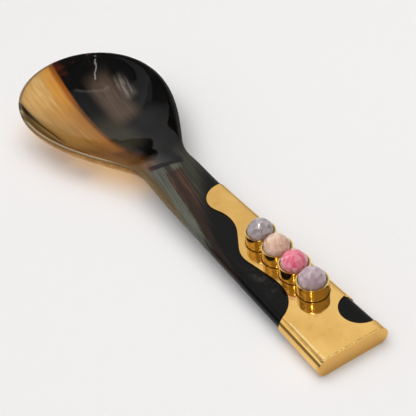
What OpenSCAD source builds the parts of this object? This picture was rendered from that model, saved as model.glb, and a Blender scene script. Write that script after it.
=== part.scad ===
/* [Handle] */
// Length of the handle, from its flat end to the throat of the bowl
handle_l = 134.4; // [120:0.2:160]
// Width of the horn at the handle's flat end
handle_w = 30.1; // [26:0.1:36]
// Width of the horn where the throat starts
neck_w = 25; // [20:0.2:28]
// Thickness of the horn along the handle
horn_t = 6.5; // [5:0.1:9]
// How gently the handle's sides run out into the bowl
neck_round = 4; // [2:0.5:8]

/* [Bowl] */
// Length of the bowl, from the throat to the tip
bowl_l = 117.8; // [100:0.1:135]
// Greatest width of the bowl
bowl_w = 73; // [60:0.2:85]
// Depth of the hollow below the rim
bowl_depth = 13.8; // [10:0.2:20]
// Thickness of the horn under the deepest place
floor_t = 2.6; // [2:0.1:4]
// Width of the flat rim
rim_w = 1.7; // [1.2:0.1:3]
// Height of the squared edge that carries the rim
rim_h = 1.2; // [0.8:0.1:2]
// How far the rim sags below the top of the handle
rim_drop = 3.4; // [2:0.2:8]
// How far the tip rises again above the lowest place of the rim
tip_rise = 2.2; // [0:0.1:4]
// Distance of the deepest place from the throat
deep_x = 66; // [56:1:72]
// How far the bowl's outline runs back into the neck
neck_reach = 26; // [22:0.5:30]

/* [Brass sheet] */
// Thickness of the brass sheet
sheet_t = 0.5; // [0.3:0.05:0.8]
// Clearance between the horn and the sheet wrapped round it
sheet_gap = 0.05; // [0.02:0.01:0.1]
// Length of the cap on the underside of the handle
cap_l = 22; // [16:0.5:28]
// How far the sheet folds in under the right edge
fold_under = 2; // [1:0.5:6]
// Distance of the lobe's outermost point from the handle's end
lobe_x = 107; // [104:0.5:109]
// Radius of the lobe at the far end of the sheet
lobe_r = 10.1; // [9:0.1:11]
// Sideways place of the lobe's centre
lobe_y = -10; // [-12:0.5:-8]
// Radius of the round hole folded over the right edge
notch_r = 8.2; // [6:0.1:9]
// Distance of that hole's centre from the handle's end
notch_x = 12.4; // [11:0.1:14]
// How far that centre lies beyond the line where the top face turns down
notch_out = 1.8; // [1:0.1:3]
// Thickness of the plate that closes the end
plate_t = 0.8; // [0.5:0.1:1.5]

/* [Curved edge of the sheet] */
// Radius of the hollow next to the lobe
hollow_r = 19.3; // [18.5:0.1:20]
// Straight run from that hollow to the shoulder
first_run = 9.6; // [9:0.1:10.5]
// Radius of the shoulder beside the bezels
shoulder_r = 13; // [12.5:0.1:13.5]
// Straight run along the bezels
second_run = 13.3; // [12.5:0.1:14]
// Radius of the slow bend after it
bend_r = 27; // [25:0.5:29]
// Radius of the turn that leads over the left edge
turn_r = 14.7; // [14:0.1:15.2]

/* [Bezels and stones] */
// Outside diameter of a bezel
bezel_d = 12.7; // [12:0.1:13.4]
// Height of a bezel above the sheet
bezel_h = 5.9; // [5:0.1:7]
// Wall of a bezel
bezel_wall = 0.6; // [0.4:0.05:0.8]
// Thickness left of two bezels' walls where they are filed flat and meet
bezel_web = 0.15; // [0.1:0.05:0.6]
// Clearance between a stone and the inside of its bezel
stone_gap = 0.1; // [0.05:0.05:0.3]
// Distance of the last bezel from the handle's end
bezel_x = 29.8; // [28:0.1:34]
// Sideways place of the row of bezels
bezel_y = -4.6; // [-6:0.1:-4]
// Facets round the girdle of a stone
stone_facets = 13; // [9:1:16]

/* [Hidden] */
$fn = 96;

// The drawing frame has x along the handle from its flat end, z up, and z = 0 on the horn's underside.
spoon_l = handle_l + bowl_l;
edge_r = horn_t / 2;
wrap_t = sheet_gap + sheet_t;
sheet_top = horn_t + wrap_t;
bezel_bore = bezel_d - 2 * bezel_wall;
bezel_pitch = bezel_bore + bezel_web;
stone_d = bezel_bore - 2 * stone_gap;

// Colours
horn_colour = [0.20, 0.15, 0.11];
brass_colour = [0.85, 0.65, 0.30];
stone_colours = [
    [0.64, 0.60, 0.66],
    [0.86, 0.68, 0.56],
    [0.84, 0.46, 0.56],
    [0.70, 0.62, 0.67]
];

function smooth(t) = let (c = min(max(t, 0), 1)) c * c * (3 - 2 * c);

// The larger of two values, rounded where they cross
function soft_max(a, b, k) = max(a, b) + pow(max(k - abs(a - b), 0), 2) / (4 * k);

// Plan of the horn: the straight taper of the handle runs into an egg whose small end lies in the neck
egg_start = handle_l - neck_reach;
egg_fullness = 0.84;
egg_flatness = 0.18;
function egg(t) = let (c = 2 * t - 1)
    sqrt(max(0, 4 * t * (1 - t))) * (1 + egg_fullness * c - egg_flatness * c * c);
egg_max = max([for (i = [0:100]) egg(i / 100)]);
function egg_half(x) = bowl_w / 2 / egg_max * egg(max(0, (x - egg_start) / (spoon_l - egg_start)));
function taper_half(x) = (handle_w + (neck_w - handle_w) * x / handle_l) / 2;
function half_width(x) =
    x <= egg_start ? taper_half(x)
    : x >= handle_l + bowl_l / 2 ? egg_half(x)
    : soft_max(taper_half(x), egg_half(x), neck_round);

// Side view of the top edge: level along the sheet, a sag to the bowl's rim, and a rise to the tip
sag_start = lobe_x + 2;
sag_end = handle_l + 0.56 * bowl_l;
function rim_z(x) = horn_t
    - rim_drop * smooth((x - sag_start) / (sag_end - sag_start))
    + tip_rise * pow(max(0, (x - sag_end) / (spoon_l - sag_end)), 2);

// Each point of the outline has a partner on the spine. The spine ends at the deepest place of the bowl,
// and from there the partners fan out to the tip.
fan_start = 0.85;
fan_power = fan_start * bowl_l / deep_x;
function spine(x) = let (u = (x - handle_l) / bowl_l)
    u <= 0 ? x : handle_l + deep_x * (1 - pow(max(0, 1 - u / fan_start), fan_power));

// Depth of the hollow and of the outer face below the rim, at a place on the spine
throat_power = 1.6;
function hollow(s) = s <= handle_l ? 0
    : bowl_depth * pow(sin(90 * (s - handle_l) / deep_x), throat_power);
function keel(s) = horn_t
    + (bowl_depth + floor_t - horn_t) * smooth((s - sag_start) / (handle_l + deep_x - sag_start));
// 0 on the handle's rounded section and 1 on the bowl's thin one
function bowlness(s) = smooth((s - sag_start) / (handle_l - sag_start));

// Half a cross-section, from the middle of the top face round the edge to the middle of the underside.
// Each point is a distance from the spine and a height below the rim line.
top_n = 13;
edge_n = 5;
under_n = top_n + edge_n;
half_n = top_n + edge_n + under_n;
inside_power = 1.5;
outside_power = 1.35;
corner_power = 0.4;
function handle_point(w, k) =
    k <= top_n ? [(w - edge_r) * k / top_n, 0]
    : k <= top_n + 2 * edge_n ? let (a = 90 * (k - top_n) / edge_n)
        [w - edge_r + edge_r * sin(a), edge_r * (cos(a) - 1)]
    : [(w - edge_r) * (half_n - k) / top_n, -horn_t];
function bowl_point(w, s, k) =
    k <= top_n ? let (a = 90 * k / top_n)
        [(w - rim_w) * sin(a), -hollow(s) * pow(cos(a), inside_power)]
    : k <= top_n + edge_n ? let (a = 90 * (k - top_n) / edge_n)
        [w - rim_w + rim_w * pow(sin(a), corner_power), rim_h * (pow(cos(a), corner_power) - 1)]
    : let (a = 90 * (k - top_n - edge_n) / under_n)
        [w * cos(a), -rim_h - (keel(s) - rim_h) * pow(sin(a), outside_power)];

// A point of the horn: x names the cross-section, side is 1 or -1, and k counts round the half-section
function horn_point(x, side, k) =
    let (
        s = spine(x),
        w = norm([x - s, half_width(x)]),
        b = bowlness(s),
        p = (1 - b) * handle_point(w, k) + b * bowl_point(w, s, k),
        px = s + (x - s) * p[0] / w,
        py = side * half_width(x) * p[0] / w
    ) [px, py, rim_z(px) + p[1]];

// Cross-sections stand close together only where the form turns
neck_n = 8;
bowl_n = 40;
sections = concat(
    [0],
    [for (i = [0:neck_n - 1]) sag_start + (handle_l - sag_start) * i / neck_n],
    [for (i = [0:bowl_n]) handle_l + bowl_l * (1 - cos(180 * i / bowl_n)) / 2]
);
last = len(sections) - 1;
// First section whose partner is the end of the spine
fan_first = min([for (i = [0:last]) if (sections[i] >= handle_l + fan_start * bowl_l) i]);

horn_points = [
    for (side = [1, -1])
        for (i = [0:last])
            for (k = [0:half_n])
                horn_point(sections[i], side, k)
];

// Both sides share the points on the spine, and the tip belongs to both
function horn_index(i, side, k) =
    let (
        middle = k == 0 || k == half_n,
        row = middle ? min(i, fan_first) : i,
        shared = middle || i == last
    ) ((shared || side == 0 ? 0 : 1) * (last + 1) + row) * (half_n + 1) + k;

// A four-sided patch as two triangles, or one where two of its corners are the same point
function distinct(f) = f[0] != f[1] && f[1] != f[2] && f[2] != f[0];
function patch(a, b, c, d, side) = [
    for (f = side == 0 ? [[a, b, c], [a, c, d]] : [[c, b, a], [d, c, a]])
        if (distinct(f)) f
];

horn_skin = [
    for (side = [0, 1])
        for (i = [0:last - 1])
            for (k = [0:half_n - 1])
                each patch(
                    horn_index(i, side, k), horn_index(i, side, k + 1),
                    horn_index(i + 1, side, k + 1), horn_index(i + 1, side, k), side
                )
];
// The flat end, in strips from the top face down to the underside
horn_end = [
    for (side = [0, 1])
        for (k = [0:top_n + edge_n - 1])
            each patch(
                horn_index(0, side, k), horn_index(0, side, half_n - k),
                horn_index(0, side, half_n - k - 1), horn_index(0, side, k + 1), side
            )
];
horn_faces = concat(horn_skin, horn_end);

// The spoon rests on the lower edge of its end plate and on the underside of its bowl
heel = [-plate_t, -wrap_t];
tilt = -atan(min([
    for (p = horn_points)
        if (p[0] > handle_l) (p[2] - heel[1]) / (p[0] - heel[0])
]));
function lean_x(x, z) = x * cos(tilt) - z * sin(tilt);
function lean_z(x, z) = x * sin(tilt) + z * cos(tilt);
back_x = lean_x(-plate_t, sheet_top);
front_x = max([for (p = horn_points) lean_x(p[0], p[2])]);
module at_rest() {
    translate([-(back_x + front_x) / 2, 0, -lean_z(heel[0], heel[1])])
        rotate([0, -tilt, 0])
            children();
}

// One side of the handle's section, grown by the thickness of what is wrapped round it.
// It reaches past the middle, so that two of them make a whole section.
past_middle = 1;
module half_section(grow, reach) {
    translate([-past_middle, -grow])
        square([reach + past_middle, horn_t + 2 * grow]);
    translate([reach, edge_r])
        circle(r = edge_r + grow);
}

module both_sides() {
    children();
    mirror([0, 1, 0])
        children();
}

// Distance from the middle to where the flat top face turns down
function crease(x) = taper_half(x) - edge_r;

// The straight tapered stretch of the handle, grown all round, from x = start to x = end
module tapered_bar(grow, start, end) {
    lean = atan((handle_w - neck_w) / 2 / handle_l);
    extra = 5;
    intersection() {
        translate([start, -handle_w, -horn_t])
            cube([end - start, 2 * handle_w, 3 * horn_t]);
        both_sides()
            translate([0, crease(0), 0])
                rotate([0, 0, -lean])
                    translate([-extra, -crease(0), 0])
                        rotate([90, 0, 90])
                            linear_extrude(end + 2 * extra)
                                half_section(grow, crease(0));
    }
}

// The sheet's curved edge, walked from the lobe back to the cap. Each leg is a radius and a turn in
// degrees, to the left when positive, or a straight length with no turn.
edge_legs = [
    [lobe_r, 114],
    [hollow_r, -53],
    [first_run, 0],
    [shoulder_r, 39.5],
    [second_run, 0],
    [bend_r, -17],
    [turn_r, -76.5]
];
arc_step = 6;
function leg_points(at, heading, leg) =
    leg[1] == 0 ? [at + leg[0] * [cos(heading), sin(heading)]]
    : let (
        n = ceil(abs(leg[1]) / arc_step),
        r = sign(leg[1]) * leg[0],
        centre = at + r * [-sin(heading), cos(heading)]
    ) [for (i = [1:n]) let (h = heading + leg[1] * i / n) centre + r * [sin(h), -cos(h)]];
function walk(at, heading, legs, i = 0) =
    i == len(legs) ? []
    : let (points = leg_points(at, heading, legs[i]))
        concat(points, walk(points[len(points) - 1], heading + legs[i][1], legs, i + 1));
lobe_start = [lobe_x, lobe_y];
sheet_edge = walk(lobe_start, 90, edge_legs);
edge_end = sheet_edge[len(sheet_edge) - 1];

// Plan of the sheet as it lies on the top face and folds down over the edges
module sheet_plan() {
    polygon(concat(
        [lobe_start],
        sheet_edge,
        [[edge_end[0], handle_w], [-1, handle_w], [-1, -handle_w], [lobe_x, -handle_w]]
    ));
}

// A round hole that folds over the right edge: one cut down through the top face and one in from the side
module notch() {
    translate([notch_x, -crease(notch_x), edge_r])
        intersection() {
            translate([0, -notch_out, 0])
                cylinder(r = notch_r, h = horn_t);
            translate([-notch_r, 0, 0])
                cube([2 * notch_r, notch_r, horn_t]);
        }
    translate([notch_x, -crease(notch_x), notch_r])
        rotate([90, 0, 0])
            cylinder(r = notch_r, h = handle_w);
}

// The space that the sheet fills round the handle, seen from above, from the side and from below
module sheet_cover() {
    difference() {
        union() {
            translate([0, 0, edge_r])
                linear_extrude(horn_t)
                    sheet_plan();
            // The cap: its edge slants on the left side and runs straight across the underside
            translate([0, handle_w, 0])
                rotate([90, 0, 0])
                    linear_extrude(2 * handle_w)
                        polygon([
                            [-1, edge_r],
                            [-1, -horn_t],
                            [cap_l, -horn_t],
                            [cap_l, 0],
                            [edge_end[0], edge_r]
                        ]);
            // The fold under the right edge
            translate([0, 0, -horn_t])
                linear_extrude(horn_t + edge_r)
                    polygon([
                        [-1, fold_under - crease(-1)],
                        [lobe_x, fold_under - crease(lobe_x)],
                        [lobe_x, -handle_w],
                        [-1, -handle_w]
                    ]);
        }
        notch();
    }
}

module horn_body() {
    color(horn_colour)
        at_rest()
            polyhedron(horn_points, horn_faces, convexity = 6);
}

module brass_sleeve() {
    color(brass_colour)
        at_rest()
            intersection() {
                difference() {
                    tapered_bar(wrap_t, 0, lobe_x);
                    tapered_bar(sheet_gap, -1, lobe_x + 1);
                }
                sheet_cover();
            }
}

module end_plate() {
    color(brass_colour)
        at_rest()
            translate([-plate_t, 0, 0])
                rotate([90, 0, 90])
                    linear_extrude(plate_t) {
                        half_section(wrap_t, crease(0));
                        mirror([1, 0])
                            half_section(wrap_t, crease(0));
                    }
}

// Bezel and stone 1 lie nearest the bowl
count = 4;
function row_x(n) = bezel_x + (count - n) * bezel_pitch;

// A round tube on the sheet, filed flat where it meets its neighbours
module bezel(n) {
    color(brass_colour)
        at_rest()
            translate([row_x(n), bezel_y, sheet_top])
                intersection() {
                    difference() {
                        cylinder(d = bezel_d, h = bezel_h);
                        translate([0, 0, -1])
                            cylinder(d = bezel_bore, h = bezel_h + 2);
                    }
                    toward_end = n == count ? bezel_d : bezel_pitch / 2;
                    toward_bowl = n == 1 ? bezel_d : bezel_pitch / 2;
                    translate([-toward_end, -bezel_d, -1])
                        cube([toward_end + toward_bowl, 2 * bezel_d, bezel_h + 2]);
                }
}

// A round bead cut with rings of facets, with a small flat above and one below that it sits on
stone_rings = 7;
flat_latitude = 75;
stone_points = [
    for (ring = [0:stone_rings - 1])
        let (latitude = flat_latitude * (2 * ring / (stone_rings - 1) - 1))
            for (i = [0:stone_facets - 1])
                let (a = 360 * (i + ring / 2) / stone_facets)
                    stone_d / 2 * [cos(latitude) * cos(a), cos(latitude) * sin(a), sin(latitude)]
];
stone_faces = concat(
    [[for (i = [0:stone_facets - 1]) i]],
    [[for (i = [stone_facets - 1:-1:0]) (stone_rings - 1) * stone_facets + i]],
    [
        for (ring = [0:stone_rings - 2])
            for (i = [0:stone_facets - 1])
                let (
                    a = ring * stone_facets + i,
                    b = ring * stone_facets + (i + 1) % stone_facets,
                    c = a + stone_facets,
                    d = b + stone_facets
                )
                for (f = [[a, c, b], [b, c, d]])
                    f
    ]
);
turn_between_stones = 17;

module stone(n) {
    color(stone_colours[n - 1])
        at_rest()
            translate([row_x(n), bezel_y, sheet_top + stone_d / 2 * sin(flat_latitude)])
                rotate([0, 0, turn_between_stones * n])
                    polyhedron(stone_points, stone_faces, convexity = 2);
}

horn_body();
brass_sleeve();
end_plate();
bezel(1);  // bezel_1
bezel(2);  // bezel_2
bezel(3);  // bezel_3
bezel(4);  // bezel_4
stone(1);  // stone_1
stone(2);  // stone_2
stone(3);  // stone_3
stone(4);  // stone_4
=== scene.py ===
import math
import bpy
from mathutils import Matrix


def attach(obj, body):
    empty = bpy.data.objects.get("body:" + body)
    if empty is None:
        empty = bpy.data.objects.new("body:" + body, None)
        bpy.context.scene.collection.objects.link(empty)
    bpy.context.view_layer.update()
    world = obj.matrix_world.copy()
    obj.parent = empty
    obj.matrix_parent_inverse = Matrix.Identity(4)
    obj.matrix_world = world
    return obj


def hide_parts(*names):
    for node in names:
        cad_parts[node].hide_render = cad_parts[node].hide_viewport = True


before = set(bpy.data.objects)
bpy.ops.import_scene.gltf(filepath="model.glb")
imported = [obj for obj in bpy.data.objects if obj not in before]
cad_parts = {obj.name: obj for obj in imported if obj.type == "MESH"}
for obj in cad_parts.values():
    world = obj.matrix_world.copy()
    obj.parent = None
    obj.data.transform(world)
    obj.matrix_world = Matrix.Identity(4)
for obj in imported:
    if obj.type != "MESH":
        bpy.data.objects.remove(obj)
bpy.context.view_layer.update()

from types import SimpleNamespace

import bmesh
import bpy
import numpy as np
from mathutils import Euler, Vector

# Sizes in millimetres, the same as in the part's source.
# The drawing frame has x along the handle from its flat end, y to the left and z up.
HANDLE_L = 134.4
HANDLE_W = 30.1
NECK_W = 25.0
HORN_T = 6.5
NECK_ROUND = 4.0
BOWL_L = 117.8
BOWL_W = 73.0
BOWL_DEPTH = 13.8
FLOOR_T = 2.6
RIM_W = 1.7
RIM_H = 1.2
RIM_DROP = 3.4
TIP_RISE = 2.2
DEEP_X = 66.0
THROAT_POWER = 1.6
EGG_FULLNESS = 0.84
EGG_FLATNESS = 0.18
WRAP_T = 0.55
PLATE_T = 0.8
LOBE_X = 107.0
CAP_L = 22.0
BEZEL_X = 29.8
BEZEL_Y = -4.6
BEZEL_D = 12.7
BEZEL_H = 5.9
BEZEL_PITCH = 11.65

SHEET_TOP = HORN_T + WRAP_T
BEZEL_TOP = SHEET_TOP + BEZEL_H
BEZEL_ROW = [(BEZEL_X + (4 - n) * BEZEL_PITCH, BEZEL_Y) for n in (1, 2, 3, 4)]
# Half the width of the source's horn, which has fewer sections than this one
SOURCE_HALF_W = 36.4976
SPOON_L = HANDLE_L + BOWL_L
EGG_START = HANDLE_L - 26
SAG_START = LOBE_X + 2
# About where a painted dark line, the ridge's reflection, crosses the throat
THROAT_LINE_X = 136.9
SAG_END = HANDLE_L + 0.56 * BOWL_L


def power(v, p):
    return np.maximum(v, 0) ** p


def smooth(t):
    c = np.clip(t, 0, 1)
    return c * c * (3 - 2 * c)


def egg(t):
    c = 2 * t - 1
    return np.sqrt(np.maximum(0, 4 * t * (1 - t))) * (1 + EGG_FULLNESS * c - EGG_FLATNESS * c * c)


EGG_MAX = max(egg(i / 100) for i in range(101))


def half_width(x):
    """Half the spoon's width: a tapered handle joined by a rounded maximum to an egg."""
    taper = (HANDLE_W + (NECK_W - HANDLE_W) * x / HANDLE_L) / 2
    bowl = BOWL_W / 2 / EGG_MAX * egg(np.clip((x - EGG_START) / (SPOON_L - EGG_START), 0, 1))
    both = np.maximum(taper, bowl) + np.maximum(NECK_ROUND - abs(taper - bowl), 0) ** 2 / (4 * NECK_ROUND)
    return np.where(x <= EGG_START, taper, np.where(x >= HANDLE_L + BOWL_L / 2, bowl, both))


def rim_z(x):
    """Height of the top edge, which sags past the sheet and rises again toward the tip."""
    rise = np.maximum(0, (x - SAG_END) / (SPOON_L - SAG_END)) ** 2
    return HORN_T - RIM_DROP * smooth((x - SAG_START) / (SAG_END - SAG_START)) + TIP_RISE * rise


FAN_START = 0.85
FAN_POWER = FAN_START * BOWL_L / DEEP_X


def spine(x):
    """Where on the middle line the section starts that meets the edge at x."""
    u = (x - HANDLE_L) / BOWL_L
    return np.where(u <= 0, x, HANDLE_L + DEEP_X * (1 - np.maximum(0, 1 - u / FAN_START) ** FAN_POWER))


def hollow(s):
    """Depth of the hollow below the rim."""
    return BOWL_DEPTH * np.sin(math.pi / 2 * np.clip((s - HANDLE_L) / DEEP_X, 0, 1)) ** THROAT_POWER


def keel(s):
    """Depth of the underside below the rim."""
    deep = smooth((s - SAG_START) / (HANDLE_L + DEEP_X - SAG_START))
    return HORN_T + (BOWL_DEPTH + FLOOR_T - HORN_T) * deep


# Points along half a section: across the hollow, round the edge and under the bowl
TOP_N = 40
EDGE_N = 12
UNDER_N = TOP_N + EDGE_N
HALF_N = TOP_N + EDGE_N + UNDER_N


def half_section(x):
    """Half a cross-section of the horn, from the middle of the top round to the middle of the underside."""
    s = float(spine(x))
    w = float(np.hypot(x - s, half_width(x)))
    b = float(smooth((s - SAG_START) / (HANDLE_L - SAG_START)))
    k = np.arange(HALF_N + 1)
    r = HORN_T / 2
    turn = np.clip((k - TOP_N) / EDGE_N, 0, 2) * math.pi / 2
    handle = np.where(
        (k <= TOP_N)[:, None], np.stack([(w - r) * k / TOP_N, 0 * k], 1),
        np.where(
            (k <= TOP_N + 2 * EDGE_N)[:, None],
            np.stack([w - r + r * np.sin(turn), r * (np.cos(turn) - 1)], 1),
            np.stack([(w - r) * (HALF_N - k) / TOP_N, 0 * k - HORN_T], 1)))
    a_top = np.clip(k / TOP_N, 0, 1) * math.pi / 2
    # Evenly spread along the square-cornered edge, so that its corners are truly round
    a_edge = smooth(np.clip((k - TOP_N) / EDGE_N, 0, 1)) * math.pi / 2
    a_under = np.clip((k - TOP_N - EDGE_N) / UNDER_N, 0, 1) * math.pi / 2
    inside = np.stack([(w - RIM_W) * np.sin(a_top), -hollow(s) * power(np.cos(a_top), 1.5)], 1)
    edge_y = w - RIM_W + RIM_W * power(np.sin(a_edge), 0.4)
    edge = np.stack([edge_y, RIM_H * (power(np.cos(a_edge), 0.4) - 1)], 1)
    outside = np.stack([w * np.cos(a_under), -RIM_H - (keel(s) - RIM_H) * power(np.sin(a_under), 1.35)], 1)
    bowl = np.where((k <= TOP_N)[:, None], inside, np.where((k <= TOP_N + EDGE_N)[:, None], edge, outside))
    p = (1 - b) * handle + b * bowl
    px = s + (x - s) * p[:, 0] / w
    py = half_width(x) * p[:, 0] / w
    return np.stack([px, py, rim_z(px) + p[:, 1]], 1)


# Sections along the handle, the neck and the bowl, closest together at the bowl's two ends
SECTIONS = np.concatenate([
    np.linspace(0, SAG_START, 30),
    np.linspace(SAG_START, HANDLE_L, 26)[1:],
    HANDLE_L + BOWL_L * (1 - np.cos(np.linspace(0, math.pi, 130)[1:])) / 2,
])
HALVES = np.array([half_section(x) for x in SECTIONS])

# How the spoon lies at rest: its tilt, and where the drawing frame's origin goes
bowl_points = HALVES[HALVES[:, :, 0] > HANDLE_L]
TILT = -math.atan(np.min((bowl_points[:, 2] + WRAP_T) / (bowl_points[:, 0] + PLATE_T)))
COS = math.cos(TILT)
SIN = math.sin(TILT)
leaning_x = HALVES[:, :, 0] * COS - HALVES[:, :, 2] * SIN
SHIFT_X = -((-PLATE_T * COS - SHEET_TOP * SIN) + leaning_x.max()) / 2
SHIFT_Z = PLATE_T * SIN + WRAP_T * COS


def at_rest(p):
    """Drawing frame in millimetres to the part's frame in metres."""
    p = np.asarray(p, float)
    x = p[..., 0] * COS - p[..., 2] * SIN + SHIFT_X
    z = p[..., 0] * SIN + p[..., 2] * COS + SHIFT_Z
    return np.stack([x, p[..., 1], z], -1) / 1000


class Paint:
    """The nodes of a material or a world. Most methods add a node and return its output."""

    def __init__(self, owner):
        owner.use_nodes = True
        self.owner = owner
        self.tree = owner.node_tree
        self.tree.nodes.clear()

    def link(self, value, socket):
        if isinstance(value, bpy.types.NodeSocket):
            self.tree.links.new(value, socket)
        elif hasattr(value, "__len__") and len(value) == 3 and socket.type == "RGBA":
            socket.default_value = (*value, 1)
        else:
            socket.default_value = value

    def node(self, kind, inputs=(), **props):
        n = self.tree.nodes.new(kind)
        for key, value in props.items():
            setattr(n, key, value)
        for key, value in dict(inputs).items():
            self.link(value, n.inputs[key])
        return n

    def math(self, op, a, b=0.0, c=0.0):
        return self.node("ShaderNodeMath", {0: a, 1: b, 2: c}, operation=op).outputs[0]

    def add(self, a, b):
        return self.math("ADD", a, b)

    def sub(self, a, b):
        return self.math("SUBTRACT", a, b)

    def mul(self, a, b):
        return self.math("MULTIPLY", a, b)

    def step(self, value, low, high, to_low=0.0, to_high=1.0):
        n = self.node("ShaderNodeMapRange", {
            "Value": value, "From Min": low, "From Max": high, "To Min": to_low, "To Max": to_high,
        }, interpolation_type="SMOOTHSTEP")
        return n.outputs[0]

    def band(self, value, centre, half, soft):
        """1 within half of centre, and 0 beyond a soft edge."""
        away = self.sub(self.math("ABSOLUTE", self.sub(value, centre)), half)
        return self.step(away, 0.0, soft, 1.0, 0.0)

    def most(self, a, b):
        return self.math("MAXIMUM", a, b)

    def mix(self, fac, a, b, blend="MIX"):
        n = self.node("ShaderNodeMix", data_type="RGBA", blend_type=blend)
        self.link(fac, n.inputs[0])
        self.link(a, n.inputs[6])
        self.link(b, n.inputs[7])
        return n.outputs[2]

    def ramp(self, fac, *stops):
        n = self.node("ShaderNodeValToRGB", {"Fac": fac})
        e = n.color_ramp.elements
        while len(e) < len(stops):
            e.new(0.5)
        for item, (place, colour) in zip(e, stops):
            item.position = place
            item.color = (*colour, 1)
        return n.outputs[0]

    def noise(self, vector, scale=1.0, detail=3.0, rough=0.5, warp=0.0):
        n = self.node("ShaderNodeTexNoise", {
            "Vector": vector, "Scale": scale, "Detail": detail, "Roughness": rough, "Distortion": warp,
        })
        return n.outputs[0]

    def place(self):
        """The drawing frame's coordinates, in millimetres, at the shaded point."""
        c = self.node("ShaderNodeTexCoord").outputs["Object"]
        m = self.node("ShaderNodeMapping", {"Vector": c})
        m.inputs["Scale"].default_value = (1000, 1000, 1000)
        m.inputs["Rotation"].default_value = (0, TILT, 0)
        back_x = -COS * SHIFT_X - SIN * SHIFT_Z
        back_z = SIN * SHIFT_X - COS * SHIFT_Z
        m.inputs["Location"].default_value = (back_x, 0, back_z)
        return m.outputs[0]

    def split(self, vector):
        n = self.node("ShaderNodeSeparateXYZ", {0: vector})
        return n.outputs[0], n.outputs[1], n.outputs[2]

    def join(self, x, y, z):
        return self.node("ShaderNodeCombineXYZ", {0: x, 1: y, 2: z}).outputs[0]

    def bump(self, height, distance, strength=1.0, normal=None):
        inputs = {"Height": height, "Distance": distance, "Strength": strength}
        if normal is not None:
            inputs["Normal"] = normal
        return self.node("ShaderNodeBump", inputs).outputs[0]

    def principled(self, **inputs):
        n = self.node("ShaderNodeBsdfPrincipled")
        for key, value in inputs.items():
            self.link(value, n.inputs[key.replace("_", " ")])
        return n.outputs[0]

    def mix_shaders(self, fac, a, b):
        return self.node("ShaderNodeMixShader", {0: fac, 1: a, 2: b}).outputs[0]

    def surface(self, shader, output="ShaderNodeOutputMaterial"):
        """Finishes the nodes, and returns the material or the world."""
        self.tree.links.new(shader, self.tree.nodes.new(output).inputs["Surface"])
        return self.owner


# Horn: translucent amber at the bowl's left and tip, black beyond, with streaks along the grain
def horn_grain(m):
    """Where a point lies on the horn, and the noises that run along its grain."""
    pos = m.place()
    x, y, z = m.split(pos)
    # The grain fans out toward the tip
    v = m.math("DIVIDE", y, m.step(x, 196, 245, 1.0, 1.3))
    streak = m.noise(m.join(m.mul(x, 0.014), m.mul(v, 0.55), m.mul(z, 0.12)), 1.0, 6.0, 0.62, 0.25)
    broad = m.noise(m.join(m.mul(x, 0.018), m.mul(v, 0.22), m.mul(z, 0.08)), 1.0, 3.0, 0.5, 0.3)
    fine = m.noise(m.join(m.mul(x, 0.05), m.mul(v, 2.6), m.mul(z, 0.9)), 1.0, 4.0, 0.6)
    cloud = m.noise(pos, 0.16, 4.0, 0.6)
    comb = m.step(m.noise(m.join(m.mul(x, 0.02), m.mul(v, 1.1), m.mul(z, 0.3)), 1.0, 5.0, 0.7), 0.38, 0.62)
    wobble = m.sub(m.mul(broad, 2.4), 1.2)
    jitter = m.sub(m.mul(streak, 2.4), 1.2)
    # How far a point lies inside the amber, whose edge is wavy
    edge = m.add(v, m.add(m.mul(wobble, 0.5), m.mul(jitter, 0.35)))
    return SimpleNamespace(
        pos=pos, x=x, y=y, z=z, v=v, streak=streak, fine=fine, cloud=cloud, comb=comb,
        wobble=wobble, jitter=jitter, edge=edge)


def wall_streaks(m, grain):
    """Two dark streaks on the bowl's left wall, widest where they start at the rim."""
    x, y, v, wobble = grain.x, grain.y, grain.v, grain.wobble
    upper_v = m.add(m.mul(m.sub(x, 196), 0.047), 25.6)
    upper_half = m.step(x, 208, 228, 0.4, 1.1)
    upper_soft = m.step(x, 210, 230, 1.0, 1.2)
    upper = m.band(m.add(v, m.mul(wobble, 0.35)), upper_v, upper_half, upper_soft)
    upper = m.mul(upper, m.add(m.step(x, 186, 200, 0.0, 0.8), m.step(x, 212, 224, 0.0, 0.2)))
    lower_y = m.add(m.step(x, 174, 192, 23.6, 29.3), m.step(x, 190, 222, 0.0, 5.0))
    lower = m.band(m.add(y, m.mul(wobble, 0.5)), lower_y, 1.3, 2.2)
    lower = m.mul(m.mul(lower, m.step(x, 168, 180)), m.step(x, 228, 218))
    return m.most(upper, m.mul(lower, 0.93))


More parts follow.
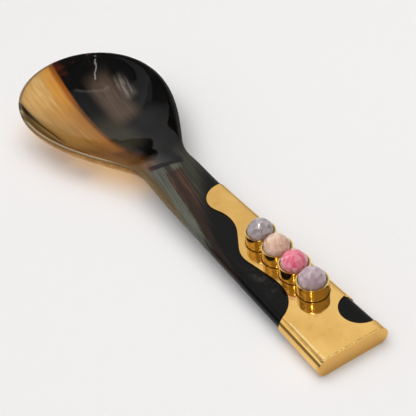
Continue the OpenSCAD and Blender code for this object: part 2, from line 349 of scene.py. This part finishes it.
def amber_horn(m, grain, lines):
    """Pale at the tip, tan and pinker toward the floor of the bowl, with the dark streaks in it."""
    x, y, z, v = grain.x, grain.y, grain.z, grain.v
    streak, fine, edge = grain.streak, grain.fine, grain.edge
    honey = m.ramp(
        streak, (0.30, (0.60, 0.33, 0.075)), (0.44, (0.77, 0.50, 0.17)),
        (0.60, (0.87, 0.63, 0.28)), (0.80, (0.69, 0.40, 0.10)))
    honey = m.mix(m.step(fine, 0.52, 0.74, 0.0, 0.38), honey, (0.44, 0.20, 0.04))
    honey = m.mix(m.step(x, 239, 206), honey, (0.53, 0.49, 0.44), "MULTIPLY")
    honey = m.mix(m.step(x, 206, 168), honey, (0.34, 0.31, 0.27), "MULTIPLY")
    # The wall below the left rim is browner
    wall = m.step(m.add(y, m.mul(m.sub(218, x), 0.56)), 24.0, 25.5)
    honey = m.mix(m.mul(wall, m.step(x, 226, 212)), honey, (0.82, 0.78, 0.58), "MULTIPLY")
    cream = m.mul(m.step(x, 225, 240), m.step(v, 8.0, 16.0))
    honey = m.mix(m.mul(cream, 0.35), honey, (0.98, 0.70, 0.30))
    # An orange band beside the black, with a thin line of rust at its edge
    near_tip = m.step(x, 216, 236)
    orange = m.mul(m.band(edge, 6.2, 1.4, 4.2), m.step(streak, 0.34, 0.62, 0.45, 1.0))
    orange_tone = m.mix(near_tip, (0.42, 0.19, 0.050), (0.82, 0.36, 0.035))
    honey = m.mix(m.mul(orange, 0.88), honey, orange_tone)
    # Darker strokes beside it, toward the tip
    soft = m.noise(m.join(m.mul(x, 0.02), m.mul(v, 0.8), m.mul(z, 0.15)), 1.0, 2.0, 0.5)
    strokes = m.mul(m.mul(m.band(v, 11.0, 2.5, 5.0), m.band(x, 230, 8, 12)), m.step(soft, 0.44, 0.60))
    honey = m.mix(m.mul(strokes, 0.6), honey, (0.58, 0.27, 0.035))
    rust = m.band(edge, 3.6, 0.5, 1.9)
    rust_tone = m.mix(near_tip, (0.10, 0.035, 0.010), (0.34, 0.075, 0.004))
    honey = m.mix(m.mul(rust, 0.9), honey, rust_tone)
    honey = m.mix(m.mul(lines, 0.97), honey, (0.014, 0.0045, 0.0015))
    # The wall toward the neck turns brown
    brown = m.mul(m.step(x, 196, 158), m.step(streak, 0.35, 0.65, 0.45, 1.0))
    return m.mix(brown, honey, (0.135, 0.052, 0.014))


def black_horn(m, grain):
    return m.mix(m.step(grain.streak, 0.52, 0.75), (0.0030, 0.0028, 0.0027), (0.009, 0.0055, 0.0045))


def veiled_horn(m, grain, black):
    """The black side of the bowl, with faint brown and grey veils along the grain."""
    x, y, z, v = grain.x, grain.y, grain.z, grain.v
    comb, cloud, edge = grain.comb, grain.cloud, grain.edge
    # The pale patch is partly the horn's own grey and partly a painted highlight, where the backdrop's
    # bright edge shows in the bowl
    pale = m.mul(m.mul(m.band(x, 220, 3, 9), m.band(y, -21.5, 0.8, 3.6)), m.step(comb, 0.0, 1.0, 0.3, 1.0))
    warm = m.mul(m.mul(m.band(x, 217, 11, 14), m.band(y, -12.5, 2.5, 7)), m.step(comb, 0.0, 1.0, 0.75, 1.0))
    sage = m.mul(m.band(x, 190, 10, 18), m.band(y, -1, 3, 8))
    satin = m.mix(m.mul(sage, 0.9), black, (0.036, 0.032, 0.019))
    satin = m.mix(m.mul(warm, 0.9), satin, (0.120, 0.080, 0.056))
    satin = m.mix(m.mul(pale, 0.7), satin, (0.27, 0.22, 0.185))
    red = m.mul(m.band(edge, 1.0, 0.8, 2.6), m.mul(m.step(x, 236, 250), m.step(cloud, 0.42, 0.64)))
    satin = m.mix(m.mul(red, 0.8), satin, (0.085, 0.018, 0.006))
    near_rim = m.mul(m.step(cloud, 0.50, 0.64), m.step(x, 200, 214))
    near_rim = m.mul(m.step(z, 0.5, 4.5), m.mul(m.band(v, -6.0, 7.0, 4.0), near_rim))
    return m.mix(m.mul(near_rim, 0.6), satin, (0.075, 0.020, 0.010))


def handle_horn(m, grain, black):
    """Olive, grey-green, brown and dark green stripes that drift to the neck's left edge."""
    x, y, z = grain.x, grain.y, grain.z
    streak, cloud, jitter = grain.streak, grain.cloud, grain.jitter
    across = m.sub(y, m.mul(m.sub(130, x), 0.155))
    hair = m.noise(m.join(m.mul(x, 0.028), m.mul(across, 1.5), m.mul(z, 0.3)), 1.0, 7.0, 0.75)
    sway = m.noise(m.join(m.mul(x, 0.10), m.mul(across, 0.45), 0.0), 1.0, 3.0, 0.6)
    g = m.add(m.add(across, m.mul(m.sub(hair, 0.5), 6.5)), m.mul(m.sub(sway, 0.5), 3.2))
    green = m.ramp(
        hair, (0.32, (0.045, 0.045, 0.034)), (0.46, (0.090, 0.092, 0.070)),
        (0.60, (0.135, 0.138, 0.110)), (0.78, (0.060, 0.052, 0.036)))
    brown_tone = m.mix(m.step(hair, 0.42, 0.60), (0.024, 0.009, 0.005), (0.105, 0.053, 0.032))
    dusk = m.mix(m.step(hair, 0.40, 0.66), (0.026, 0.025, 0.018), (0.058, 0.054, 0.038))
    olive = m.mix(m.step(streak, 0.40, 0.70), (0.105, 0.068, 0.028), (0.19, 0.130, 0.062))
    core = m.mix(m.step(x, 112, 104, 0.0, 0.4), brown_tone, (0.040, 0.026, 0.017))
    core_right = m.step(x, 116, 62, 0.0, 6.0)
    neck = m.mix(m.step(m.sub(g, core_right), -4.6, -3.0), dusk, core)
    neck = m.mix(m.step(g, 3.4, 4.7), neck, green)
    neck = m.mix(m.step(m.add(g, m.mul(m.band(x, 136, 3, 6), -1.5)), 7.7, 8.7), neck, olive)
    # The core starts a little way down from the dark line
    neck = m.mix(m.mul(m.step(x, 128, 131), m.band(g, 0.0, 4.0, 1.0)), neck, green)
    # It fades to black toward the lobe of the sheet, first on the right
    fade = m.step(m.add(m.add(x, m.mul(g, 2.6)), m.mul(jitter, 5)), 80, 106)
    handle = m.mix(fade, black, neck)
    brown_streak = m.mul(m.band(m.sub(g, m.mul(core_right, 0.35)), 1.2, 0.8, 1.8), m.step(x, 42, 60))
    handle = m.mix(m.mul(brown_streak, m.step(x, 60, 104, 0.45, 0.9)), handle, (0.030, 0.017, 0.011))
    spots = m.mul(m.mul(m.band(x, 44, 7, 10), m.band(y, 5, 2.5, 4)), m.step(cloud, 0.50, 0.66))
    return m.mix(m.mul(spots, 0.6), handle, (0.040, 0.038, 0.032))


def join_at_throat(m, grain, handle, bowl):
    """The neck's stripes stop at a dark line across the throat, and blend in beside it."""
    x, y, jitter = grain.x, grain.y, grain.jitter
    ragged = m.noise(m.join(0.0, m.mul(y, 0.9), 0.0), 1.0, 4.0, 0.7)
    line_x = m.add(m.add(m.add(x, m.mul(y, -0.24)), m.mul(ragged, 1.6)), m.mul(m.mul(y, y), 0.012))
    beside = m.band(y, -0.6, 6.6, 2.4)
    blend = m.step(m.add(x, m.mul(jitter, 2.0)), 132, 150)
    sharp = m.step(line_x, THROAT_LINE_X, THROAT_LINE_X + 1.7)
    in_bowl = m.add(m.mul(beside, sharp), m.mul(m.sub(1.0, beside), blend))
    colour = m.mix(in_bowl, handle, bowl)
    # A patch of pinkish brown on the slope behind the dark line
    patch = m.mul(m.band(x, 141, 2, 4), m.band(y, 5.5, 1.2, 2.2))
    colour = m.mix(m.mul(patch, 0.75), colour, (0.19, 0.115, 0.085))
    # Right of it the bowl begins in a grey haze, browner to the left
    haze = m.mul(m.band(x, 142, 4, 6), m.band(y, 1.5, 2.5, 5.0))
    haze_tone = m.mix(m.step(y, -2.0, 4.5), (0.030, 0.030, 0.029), (0.105, 0.075, 0.052))
    colour = m.mix(m.mul(m.mul(haze, in_bowl), 0.85), colour, haze_tone)
    # The amber darkens to brown before the neck
    shade = m.mul(m.band(x, 158, 8, 8), m.band(y, 6.5, 3, 4))
    colour = m.mix(m.mul(shade, 0.85), colour, (0.035, 0.014, 0.006))
    # The dark line is a painted dark reflection of the ridge where the neck's top bends into the bowl,
    # thicker and redder to the left
    half = m.step(y, -6.0, 5.0, 0.8, 1.3)
    line = m.mul(m.band(line_x, THROAT_LINE_X, half, 1.5), m.band(y, 0.0, 7.2, 1.2))
    line_tone = m.mix(m.step(y, 4.5, 7.0), (0.006, 0.003, 0.006), (0.050, 0.010, 0.010))
    colour = m.mix(m.mul(line, 0.97), colour, line_tone)
    return colour, in_bowl


def rim_and_outside(m, grain, lines, in_amber, colour):
    """Seen through its thickness at the rim the amber is olive, and the outer wall below is orange."""
    x, streak, fine = grain.x, grain.streak, grain.fine
    zone = m.node("ShaderNodeAttribute", attribute_name="zone").outputs["Fac"]
    bare = m.step(lines, 0.2, 0.8, 1.0, 0.15)
    rim = m.mul(m.mul(m.step(zone, 0.45, 0.8), m.step(x, 138, 150)), bare)
    rim_tone = m.mix(m.step(fine, 0.4, 0.65), (0.13, 0.110, 0.055), (0.22, 0.195, 0.115))
    colour = m.mix(m.mul(m.mul(rim, in_amber), 0.9), colour, rim_tone)
    # A pale painted highlight along the lip, where its rounding catches the light, turning to a dark line
    # at the tip
    lip = m.mul(m.mul(m.band(zone, 0.55, 0.2, 0.3), bare), m.mul(m.step(x, 150, 160), in_amber))
    lip_tone = m.mix(m.step(x, 226, 234), (0.62, 0.57, 0.45), (0.13, 0.10, 0.08))
    colour = m.mix(m.mul(lip, 0.8), colour, lip_tone)
    # A dark line along the rim's outer corner
    rim_corner_line = m.mul(m.band(zone, 1.45, 0.15, 0.3), m.mul(m.step(x, 140, 150), in_amber))
    colour = m.mix(m.mul(rim_corner_line, 0.85), colour, (0.06, 0.05, 0.02))
    outside = m.mul(m.step(zone, 1.6, 1.9), m.mul(m.step(x, 134, 148), in_amber))
    outer_tone = m.mix(m.step(streak, 0.40, 0.68), (0.46, 0.20, 0.030), (0.66, 0.36, 0.09))
    return m.mix(m.mul(outside, 0.9), colour, outer_tone)


def horn_shader(m, grain, colour, glow):
    """Polished horn, which lets light through where glow is 1."""
    pos, x, y, z = grain.pos, grain.x, grain.y, grain.z
    scratches = m.noise(m.join(m.mul(x, 0.35), m.mul(y, 3.0), m.mul(z, 2.0)), 1.0, 2.0)
    calm = m.step(m.band(x, 152, 20, 10), 0.0, 1.0, 0.0004, 0.0001)
    normal = m.bump(m.noise(pos, 0.10, 2.0), calm, 0.30)
    normal = m.bump(scratches, 0.000006, 0.2, normal)
    polish = m.step(scratches, 0.35, 0.75, 0.022, 0.055)
    gloss = m.principled(
        Base_Color=colour, Roughness=polish, IOR=1.54, Specular_IOR_Level=0.10, Normal=normal)
    tint = m.mix(0.4, colour, (1.0, 0.74, 0.42))
    through = m.node("ShaderNodeBsdfTranslucent", {"Color": tint}).outputs[0]
    shader = m.mix_shaders(m.mul(glow, 0.42), gloss, through)
    clear = m.node("ShaderNodeBsdfTransparent", {"Color": (0.98, 0.78, 0.52)}).outputs[0]
    path = m.node("ShaderNodeLightPath")
    unseen = m.most(path.outputs["Is Shadow Ray"], path.outputs["Is Diffuse Ray"])
    return m.mix_shaders(m.mul(m.mul(unseen, glow), 0.80), shader, clear)


def horn_material():
    m = Paint(bpy.data.materials.new("horn"))
    grain = horn_grain(m)
    lines = wall_streaks(m, grain)
    black = black_horn(m, grain)
    in_amber = m.step(grain.edge, 2.4, 3.7)
    bowl = m.mix(in_amber, veiled_horn(m, grain, black), amber_horn(m, grain, lines))
    colour, in_bowl = join_at_throat(m, grain, handle_horn(m, grain, black), bowl)
    colour = rim_and_outside(m, grain, lines, in_amber, colour)
    # Light comes through the bowl's amber, but not through its dark streaks
    glow = m.mul(m.mul(in_bowl, m.step(grain.edge, 3.4, 6.0)), m.step(lines, 0.0, 0.8, 1.0, 0.0))
    return m.surface(horn_shader(m, grain, colour, glow))


# Brass
def near_bezels(m, x, y, low, high, ragged=0.0):
    """1 where a bezel's middle is nearer than low, and 0 beyond high."""
    near = None
    for bezel_x, bezel_y in BEZEL_ROW:
        away = m.node("ShaderNodeVectorMath", {
            0: m.join(x, y, 0.0), 1: (bezel_x, bezel_y, 0.0),
        }, operation="DISTANCE").outputs["Value"]
        inside = m.step(m.add(away, ragged), low, high, 1.0, 0.0)
        near = inside if near is None else m.most(near, inside)
    return near


def sheet_material():
    m = Paint(bpy.data.materials.new("sheet_brass"))
    pos = m.place()
    x, y, _ = m.split(pos)
    tone = m.noise(pos, 0.07, 3.0)
    mottle = m.noise(pos, 0.35, 4.0, 0.6)
    turned = m.node("ShaderNodeMapping", {"Vector": pos})
    turned.inputs["Rotation"].default_value = (0, 0, 0.5)
    turned.inputs["Scale"].default_value = (0.06, 3.2, 1.0)
    lines = m.noise(turned.outputs[0], 1.0, 5.0, 0.7)
    colour = m.mix(m.step(tone, 0.35, 0.7), (0.84, 0.50, 0.140), (0.95, 0.60, 0.190))
    # Darker mottled patches: partly the brass's own tone, partly painted reflection of its dents
    colour = m.mix(m.step(mottle, 0.55, 0.75, 0.0, 0.45), colour, (0.70, 0.35, 0.09))
    colour = m.mix(m.step(lines, 0.56, 0.74, 0.0, 0.45), colour, (1.0, 0.72, 0.34))
    stain_along = m.band(m.add(x, m.mul(mottle, 3.0)), 33.5, 0.4, 1.4)
    stain = m.mul(stain_along, m.band(m.add(y, m.mul(tone, 2.0)), 5.6, 0.2, 0.8))
    colour = m.mix(m.mul(stain, 0.6), colour, (0.72, 0.30, 0.14))
    # The end plate's face is a little duller
    face = m.step(x, -0.3, -0.7)
    colour = m.mix(face, colour, (0.80, 0.47, 0.13))
    # Solder and polish left in the corner round each bezel
    ragged = m.mul(m.noise(pos, 1.1, 3.0), -0.7)
    ring = near_bezels(m, x, y, BEZEL_D / 2 - 0.2, BEZEL_D / 2 + 0.15, ragged)
    colour = m.mix(m.mul(ring, 0.9), colour, (0.05, 0.025, 0.01))
    # The seam of the end plate, dark with bits of painted highlight on its rim, and a broken painted
    # highlight along the crease at the cap's left edge
    broken = m.noise(pos, 0.9, 2.0)
    end_seam_and_highlight = m.mul(m.band(x, 0.05, 0.06, 0.14), m.step(broken, 0.36, 0.46))
    seam_and_highlight_tone = m.mix(m.step(broken, 0.48, 0.56), (0.10, 0.05, 0.015), (1.0, 0.86, 0.52))
    colour = m.mix(m.mul(end_seam_and_highlight, 0.85), colour, seam_and_highlight_tone)
    crease_y = HANDLE_W / 2 - HORN_T / 2 + 0.45
    on_cap = m.mul(m.step(x, CAP_L, CAP_L - 0.5), m.step(x, -0.2, 0.2))
    crease = m.mul(m.band(m.add(y, m.mul(broken, 0.7)), crease_y, 0.05, 0.30), on_cap)
    # The crease's bright brass is a painted highlight
    colour = m.mix(m.mul(crease, m.step(broken, 0.35, 0.5, 0.3, 1.0)), colour, (1.0, 0.80, 0.42))
    rough = m.add(m.step(mottle, 0.3, 0.75, 0.06, 0.12), m.mul(face, 0.12))
    dents = m.noise(pos, 0.08, 2.0)
    normal = m.bump(dents, 0.0006, 0.20)
    normal = m.bump(m.mul(crease, m.step(broken, 0.35, 0.6)), 0.00005, 0.6, normal)
    normal = m.bump(lines, 0.00002, 0.15, normal)
    return m.surface(m.principled(
        Base_Color=colour, Metallic=1.0, Roughness=m.add(rough, m.mul(ring, 0.4)), Normal=normal,
    ))


def bezel_material():
    m = Paint(bpy.data.materials.new("bezel_brass"))
    pos = m.place()
    x, y, z = m.split(pos)
    mottle = m.noise(pos, 0.6, 4.0, 0.6)
    # The walls are painted in a darker brass than the sheet, as painted shade on the upright faces
    colour = m.mix(m.step(mottle, 0.45, 0.8), (0.60, 0.40, 0.115), (0.44, 0.27, 0.065))
    # The rim tops are painted a brighter brass, as painted light on the faces that look up
    colour = m.mix(m.step(z, BEZEL_TOP - 0.25, BEZEL_TOP - 0.10), colour, (0.88, 0.62, 0.22))
    # Inside the rims the wall is brown and dull: glue there, and painted shade in the bezel's hollow
    inner = near_bezels(m, x, y, BEZEL_D / 2 - 0.36, BEZEL_D / 2 - 0.26)
    glue_and_shade = m.mul(inner, m.step(z, BEZEL_TOP + 0.15, BEZEL_TOP - 0.25))
    colour = m.mix(m.mul(glue_and_shade, 0.85), colour, (0.10, 0.045, 0.012))
    foot = m.step(m.add(z, m.mul(m.noise(pos, 0.8, 2.0), 0.8)), SHEET_TOP + 0.75, SHEET_TOP + 0.35)
    colour = m.mix(m.mul(foot, 0.8), colour, (0.10, 0.05, 0.015))
    rough = m.add(m.step(mottle, 0.3, 0.75, 0.07, 0.16), m.mul(glue_and_shade, 0.3))
    normal = m.bump(m.noise(pos, 0.45, 2.0), 0.0005, 0.22)
    return m.surface(m.principled(Base_Color=colour, Metallic=1.0, Roughness=rough, Normal=normal))


# Stones
def stone_material(name, body, pale, vein, seed):
    m = Paint(bpy.data.materials.new(name))
    pos = m.place()
    shifted = m.node("ShaderNodeVectorMath", {0: pos, 1: (seed, seed * 1.7, 0)}, operation="ADD").outputs[0]
    cloud = m.noise(shifted, 0.22, 4.0, 0.6, 0.6)
    patch = m.noise(shifted, 0.5, 3.0, 0.55)
    colour = m.mix(m.step(cloud, 0.42, 0.74, 0.0, 0.8), body, pale)
    colour = m.mix(m.step(patch, 0.56, 0.72, 0.0, 0.7), colour, vein)
    # Each facet is painted a little lighter or darker, as painted light for facets that catch the light
    # unevenly, and a few get a pale painted glint
    flat = m.node("ShaderNodeNewGeometry").outputs["True Normal"]
    facet = m.node("ShaderNodeVectorMath", {0: flat, 1: (0.04, 0.04, 0.04)}, operation="SNAP").outputs[0]
    tone = m.node("ShaderNodeTexWhiteNoise", {"Vector": facet}, noise_dimensions="3D").outputs["Value"]
    colour = m.mix(m.step(tone, 0.55, 1.0, 0.0, 0.55), colour, pale)
    colour = m.mix(m.step(tone, 0.50, 0.0, 0.0, 0.55), colour, vein)
    colour = m.mix(m.step(tone, 0.92, 0.95, 0.0, 0.22), colour, (0.85, 0.80, 0.80))
    # The lower part of each stone is painted darker, as painted shade under the light from above
    _, _, z = m.split(pos)
    foot = m.step(z, BEZEL_TOP + 2.6, BEZEL_TOP - 0.4)
    colour = m.mix(m.mul(foot, 0.6), colour, (0.42, 0.24, 0.15))
    return m.surface(m.principled(
        Base_Color=colour, Roughness=0.05, IOR=1.55, Normal=flat,
        Subsurface_Weight=0.08, Subsurface_Scale=0.0008, Subsurface_Radius=(1.0, 0.7, 0.7),
        Coat_Weight=0.3, Coat_Roughness=0.02, Coat_Normal=flat,
    ))


# The horn's mesh
def build_horn():
    ring = 2 * HALF_N
    verts = []
    for half in HALVES:
        left = half
        right = half[HALF_N - 1:0:-1] * np.array([1, -1, 1])
        verts.append(np.concatenate([left, right]))
    verts = np.concatenate(verts)
    # The source's sections stop a few thousandths short of the widest place
    verts[:, 1] = np.clip(verts[:, 1], -SOURCE_HALF_W, SOURCE_HALF_W)
    n = len(HALVES)
    faces = []
    for i in range(n - 1):
        for k in range(ring):
            a = i * ring + k
            b = i * ring + (k + 1) % ring
            faces.append((a, b, b + ring, a + ring))
    faces.append(tuple(range(ring - 1, -1, -1)))
    mesh = bpy.data.meshes.new("horn")
    mesh.from_pydata([tuple(v) for v in at_rest(verts)], [], faces)
    mesh.validate()
    mesh.materials.append(horn_material())
    obj = bpy.data.objects.new("horn", mesh)
    bpy.context.scene.collection.objects.link(obj)
    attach(obj, "root")
    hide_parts("horn_body")
    # 0 on the top face, 1 on the rim and 2 on the outside, for the material
    k = np.arange(HALF_N + 1)
    corner = TOP_N + EDGE_N / 2
    half_zone = np.interp(k, [TOP_N - 1, TOP_N + 2, corner + 1, corner + 3], [0, 1, 1, 2])
    zone = np.tile(np.concatenate([half_zone, half_zone[HALF_N - 1:0:-1]]), n)
    mesh.attributes.new("zone", "FLOAT", "POINT").data.foreach_set("value", zone)
    # Where the spine ends and at the tip the sections share points
    bm = bmesh.new()
    bm.from_mesh(mesh)
    bmesh.ops.remove_doubles(bm, verts=bm.verts, dist=2e-6)
    bmesh.ops.recalc_face_normals(bm, faces=bm.faces)
    bm.to_mesh(mesh)
    bm.free()
    # All of it is smooth but the handle's flat end
    for face in mesh.polygons:
        face.use_smooth = len(face.vertices) <= 4


# The other pieces keep their CAD mesh, and get a material and soft edges
def dress(name, material, bevel):
    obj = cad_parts[name]
    obj.data.materials.clear()
    obj.data.materials.append(material)
    if bevel:
        soft = obj.modifiers.new("soft edges", "BEVEL")
        soft.width = bevel
        soft.segments = 2
        soft.limit_method = "ANGLE"
        soft.angle_limit = math.radians(35)


# Floor, key light and camera, in metres and radians of the part's frame
FLOOR_HALF = 3.0
FLOOR_COLOUR = (0.892, 0.874, 0.864)
KEY_AT = (0.05, -0.22, 0.85)
KEY_SIZE = 0.5
KEY_WATTS = 1.0
CAMERA_AT = (-0.336005, 0.143066, 0.266367)
CAMERA_TURN = (0.920465, 0.146941, -2.114528)
SENSOR_MM = 36
FOCAL_PX = 1000
PHOTO_PX = 416


def build_floor():
    m = Paint(bpy.data.materials.new("floor"))
    shader = m.principled(Base_Color=FLOOR_COLOUR, Roughness=0.6, Specular_IOR_Level=0.2)
    mesh = bpy.data.meshes.new("floor")
    s = FLOOR_HALF
    mesh.from_pydata([(-s, -s, 0), (s, -s, 0), (s, s, 0), (-s, s, 0)], [], [(0, 1, 2, 3)])
    mesh.materials.append(m.surface(shader))
    obj = bpy.data.objects.new("floor", mesh)
    bpy.context.scene.collection.objects.link(obj)


# The studio. Of a direction, dz is the sine of the elevation, and off the degrees left of the backdrop.
BACKDROP_TURN = -23.0
# Where two dark things stand before the backdrop: off, dz, half width, half height and lean
DARK_THINGS = ((2.5, 0.095, 6.2, 0.115, 0.0), (29.0, 0.12, 6.5, 0.045, 0.008))
# Strength of the even light, near the horizon and overhead
WORLD_LOW = 0.30
WORLD_HIGH = 1.675
LAMP_STRENGTH = 22.0


def backdrop(m, off, dz):
    """A pale backdrop, darker low on the left, where two dark things stand before it."""
    left_low = m.add(m.step(dz, 0.20, 0.50, 0.0, 0.40), 0.34)
    right_low = 0.74
    lift = m.add(m.mul(m.step(off, -8.0, -3.0), m.sub(left_low, right_low)), right_low)
    lift = m.mul(m.add(lift, m.step(dz, 0.60, 0.90, 0.0, 0.22)), m.step(dz, 0.955, 0.935))
    for at_off, at_dz, wide, high, lean in DARK_THINGS:
        along = m.sub(off, at_off)
        up = m.add(m.sub(dz, at_dz), m.mul(along, lean))
        across = m.math("POWER", m.mul(along, 1 / wide), 2.0)
        upright = m.math("POWER", m.mul(up, 1 / high), 2.0)
        lift = m.mul(lift, m.step(m.add(across, upright), 0.85, 1.05))
    # The right end is dimmer close to the table
    dim = m.mul(m.step(off, -10.0, -20.0), m.step(dz, 0.34, 0.16))
    lift = m.mul(lift, m.sub(1.0, m.mul(dim, 0.6)))
    return m.mul(m.band(off, -4.0, 30.0, 16.0), lift)


def side_windows(m, off, dz):
    """Windows and walls beside the camera and behind it, seen in the upright brass."""
    level = m.band(dz, 0.60, 0.10, 0.05)
    windows = m.mul(m.band(off, 79.0, 41.0, 6.0), m.step(off, 50.0, 58.0, 0.5, 1.0))
    windows = m.most(windows, m.mul(m.band(off, 168.0, 7.0, 3.0), 0.7))
    windows = m.most(windows, m.mul(m.band(off, -86.0, 28.0, 20.0), 0.42))
    box = m.mul(windows, level)
    side_low = m.mul(m.mul(m.band(off, 80.0, 42.0, 8.0), 0.22), m.step(dz, 0.52, 0.46))
    return m.most(box, m.mul(side_low, m.step(off, 54.0, 64.0, 0.25, 0.95)))


def lamps(m, ahead, aside, dz):
    """A narrow lamp overhead, and a small one behind the camera."""
    tube = m.mul(
        m.band(m.sub(aside, m.mul(ahead, -0.27)), 0.07, 0.008, 0.010), m.band(ahead, -0.16, 0.25, 0.05))
    tube = m.mul(m.mul(tube, m.step(dz, 0.6, 0.7)), LAMP_STRENGTH)
    spot = m.mul(m.mul(m.band(ahead, -0.63, 0.03, 0.02), m.band(aside, 0.23, 0.02, 0.015)), LAMP_STRENGTH)
    spot = m.mul(spot, m.step(dz, 0.5, 0.6))
    return m.most(tube, spot)


def room_round(m, off, dz):
    """All that stands round the table but the backdrop and the lamps."""
    room = m.most(side_windows(m, off, dz), m.step(dz, 0.72, 0.80, 0.08, 0.34))
    behind = m.mul(m.step(m.math("ABSOLUTE", off), 100.0, 120.0), m.band(dz, 0.62, 0.16, 0.10))
    room = m.most(room, m.mul(behind, 0.45))
    room = m.mul(room, m.step(m.math("ABSOLUTE", off), 26.0, 36.0))
    # A white curtain beside the backdrop, and the thin bright edge along the backdrop's top
    curtain = m.mul(m.band(off, 43.0, 12.0, 7.0), m.band(dz, 0.68, 0.11, 0.05))
    room = m.most(room, curtain)
    top_edge = m.mul(m.mul(m.band(dz, 0.948, 0.004, 0.008), m.band(off, 0.0, 32.0, 10.0)), 3.0)
    room = m.most(room, top_edge)
    return m.most(room, m.step(dz, 0.958, 0.970, 0.0, 0.34))


def build_world():
    """Even light for matt surfaces, and the studio for what reflects."""
    world = bpy.data.worlds.new("studio")
    bpy.context.scene.world = world
    m = Paint(world)
    dx, dy, dz = m.split(m.node("ShaderNodeTexCoord").outputs["Generated"])
    turn = m.mul(m.math("ARCTAN2", dy, dx), 180 / math.pi)
    off = m.math("WRAP", m.sub(turn, BACKDROP_TURN), 180.0, -180.0)
    # How far a direction points to the backdrop, and to its left
    cos = math.cos(math.radians(BACKDROP_TURN))
    sin = math.sin(math.radians(BACKDROP_TURN))
    ahead = m.add(m.mul(dx, cos), m.mul(dy, sin))
    aside = m.add(m.mul(dx, -sin), m.mul(dy, cos))
    seen = m.most(m.most(backdrop(m, off, dz), room_round(m, off, dz)), lamps(m, ahead, aside, dz))
    path = m.node("ShaderNodeLightPath")
    shown = m.most(path.outputs["Is Glossy Ray"], path.outputs["Is Camera Ray"])
    # The even light is a little stronger from the left
    even = m.mul(m.step(dz, 0.50, 0.98, WORLD_LOW, WORLD_HIGH), m.add(m.mul(aside, 0.8), 1.0))
    strength = m.add(m.mul(shown, seen), m.mul(m.sub(1.0, shown), even))
    # It is bluer near the horizon
    bluer = m.mul(m.sub(1.0, shown), m.step(dz, 0.75, 0.30))
    colour = m.mix(bluer, (1.0, 0.992, 0.985), (0.84, 0.93, 1.06))
    light = m.node("ShaderNodeBackground", {"Color": colour, "Strength": strength}).outputs[0]
    m.surface(light, "ShaderNodeOutputWorld")


def build_key_light():
    """A weak lamp overhead that no reflection shows."""
    data = bpy.data.lights.new("key", "AREA")
    data.shape = "RECTANGLE"
    data.size = KEY_SIZE
    data.size_y = KEY_SIZE
    data.energy = KEY_WATTS
    obj = bpy.data.objects.new("key", data)
    bpy.context.scene.collection.objects.link(obj)
    obj.location = KEY_AT
    obj.rotation_euler = (-Vector(KEY_AT)).to_track_quat("-Z", "Y").to_euler()
    obj.visible_glossy = False


def build_camera():
    """The camera that was fitted to the handle, the bezels and the bowl's outline in the photo."""
    data = bpy.data.cameras.new("camera")
    data.sensor_width = SENSOR_MM
    data.lens = SENSOR_MM * FOCAL_PX / PHOTO_PX
    data.clip_start = 0.01
    obj = bpy.data.objects.new("camera", data)
    bpy.context.scene.collection.objects.link(obj)
    obj.location = CAMERA_AT
    obj.rotation_euler = Euler(CAMERA_TURN, "XYZ")
    bpy.context.scene.camera = obj


build_horn()

sheet_brass = sheet_material()
bezel_brass = bezel_material()
dress("brass_sleeve", sheet_brass, 0.0002)
dress("end_plate", sheet_brass, 0.00015)
for n in (1, 2, 3, 4):
    dress(f"bezel_{n}", bezel_brass, 0.00008)

STONES = {
    1: stone_material("stone_grey", (0.37, 0.31, 0.32), (0.56, 0.49, 0.51), (0.25, 0.19, 0.19), 3.0),
    2: stone_material("stone_peach", (0.76, 0.49, 0.35), (0.88, 0.66, 0.52), (0.62, 0.33, 0.20), 11.0),
    3: stone_material("stone_pink", (0.84, 0.19, 0.27), (0.90, 0.38, 0.44), (0.74, 0.045, 0.15), 23.0),
    4: stone_material("stone_lilac", (0.47, 0.34, 0.37), (0.72, 0.61, 0.66), (0.34, 0.22, 0.22), 37.0),
}
for n, material in STONES.items():
    dress(f"stone_{n}", material, 0)

build_floor()
build_world()
build_key_light()
build_camera()
bpy.context.scene.view_settings.view_transform = "Standard"
